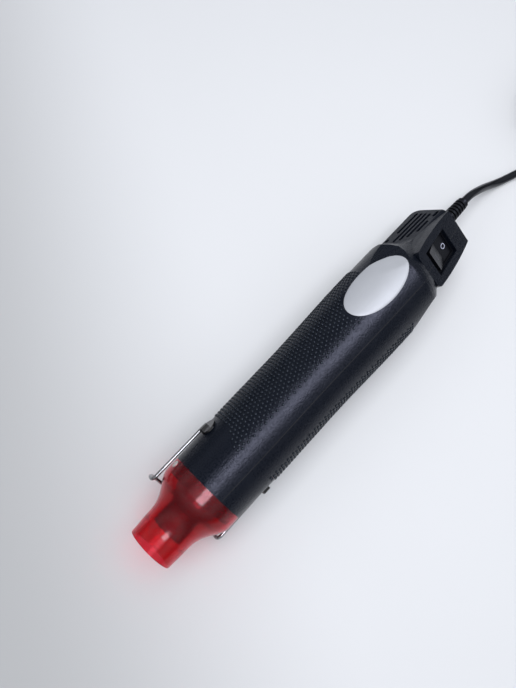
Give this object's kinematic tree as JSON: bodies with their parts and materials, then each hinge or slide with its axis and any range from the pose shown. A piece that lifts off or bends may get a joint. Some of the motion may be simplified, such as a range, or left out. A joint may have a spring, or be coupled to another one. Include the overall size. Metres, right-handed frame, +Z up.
{
  "type": "embossing heat tool",
  "caption": "Slim handheld hot-air embossing tool with a translucent nozzle guard, fold-out wire stand, slotted intake sides, rocker switch, coiled mains lead and two-pin plug.",
  "frame": {"origin": "on the table, under the middle of the tool's outline; the free lead is left out of that outline", "axes": "+X along the tool from the guard's mouth to the lead, +Z up from the table the tool lies on, +Y to the tool's left side"},
  "size_m": [0.4417, 0.058, 0.042],
  "materials": {
    "guard_plastic": "clear red moulded plastic, glossy",
    "screw_steel": "plated steel",
    "housing_plastic": "satin black with a fine spark-eroded grain",
    "bush_plastic": "glossy black",
    "stand_wire": "bright drawn steel rod",
    "nozzle_steel": "heat-darkened steel",
    "mica": "mica sheet",
    "resistance_wire": "oxidised resistance wire",
    "ceramic_plastic": "pale heat-proof moulding",
    "pale_plastic": "plain pale moulding",
    "motor_steel": "drawn steel",
    "magnet": "ferrite, matt",
    "copper_winding": "enamelled copper on steel",
    "board": "bare laminate",
    "component_black": "moulded black",
    "component_film": "dipped film",
    "switch_plastic": "satin black",
    "terminal_brass": "stamped brass",
    "wire_sleeve": "sleeved wires",
    "soft_rubber": "soft matt black",
    "lead_sheath": "satin black sheath",
    "tie_fabric": "black hook-and-loop tie",
    "plug_plastic": "satin black moulding",
    "pin_metal": "nickel-plated brass"
  },
  "bodies": {
    "housing": {"nozzle_guard": "guard_plastic", "guard_screws": "screw_steel", "housing_left": "housing_plastic", "housing_right": "housing_plastic", "housing_screws": "screw_steel", "stand_bushes": "bush_plastic", "heat_nozzle": "nozzle_steel", "mica_tube": "mica", "mica_former": "mica", "heater_wire": "resistance_wire", "thermal_cutout": "screw_steel", "front_spacer": "ceramic_plastic", "heat_shield": "mica", "air_duct": "pale_plastic", "motor_mount": "housing_plastic", "motor_screws": "screw_steel", "motor_can": "motor_steel", "motor_magnets": "magnet", "motor_cap": "pale_plastic", "rectifier_board": "board", "diodes": "component_black", "capacitor": "component_film", "switch_case": "switch_plastic", "switch_terminals": "terminal_brass", "inner_wires": "wire_sleeve", "lead_clamp": "housing_plastic", "clamp_screws": "screw_steel", "strain_relief": "soft_rubber", "lead_end": "lead_sheath", "lead_run": "lead_sheath", "lead_coil": "lead_sheath", "coil_ties": "tie_fabric", "lead_tail": "lead_sheath", "plug_body": "plug_plastic", "plug_pins": "pin_metal"},
    "stand": {"wire_stand": "stand_wire"},
    "rocker": {"switch_rocker": "switch_plastic"},
    "rotor": {"fan_impeller": "pale_plastic", "motor_shaft": "motor_steel", "motor_armature": "copper_winding"}
  },
  "joints": [
    {"name": "stand_swing", "type": "hinge", "parent": "housing", "child": "stand", "pos_m": [-0.0638, -0.00074, 0.021], "axis": [0, -0.866, -0.5], "range_deg": [0, 110]},
    {"name": "rocker_tilt", "type": "hinge", "parent": "housing", "child": "rocker", "pos_m": [0.0724, -0.0042, 0.027], "axis": [0, -0.866, -0.5], "range_deg": [0, 14]},
    {"name": "rotor_spin", "type": "hinge", "parent": "housing", "child": "rotor", "pos_m": [0.02, -0.00074, 0.021], "axis": [1, 0, 0], "continuous": true}
  ]
}
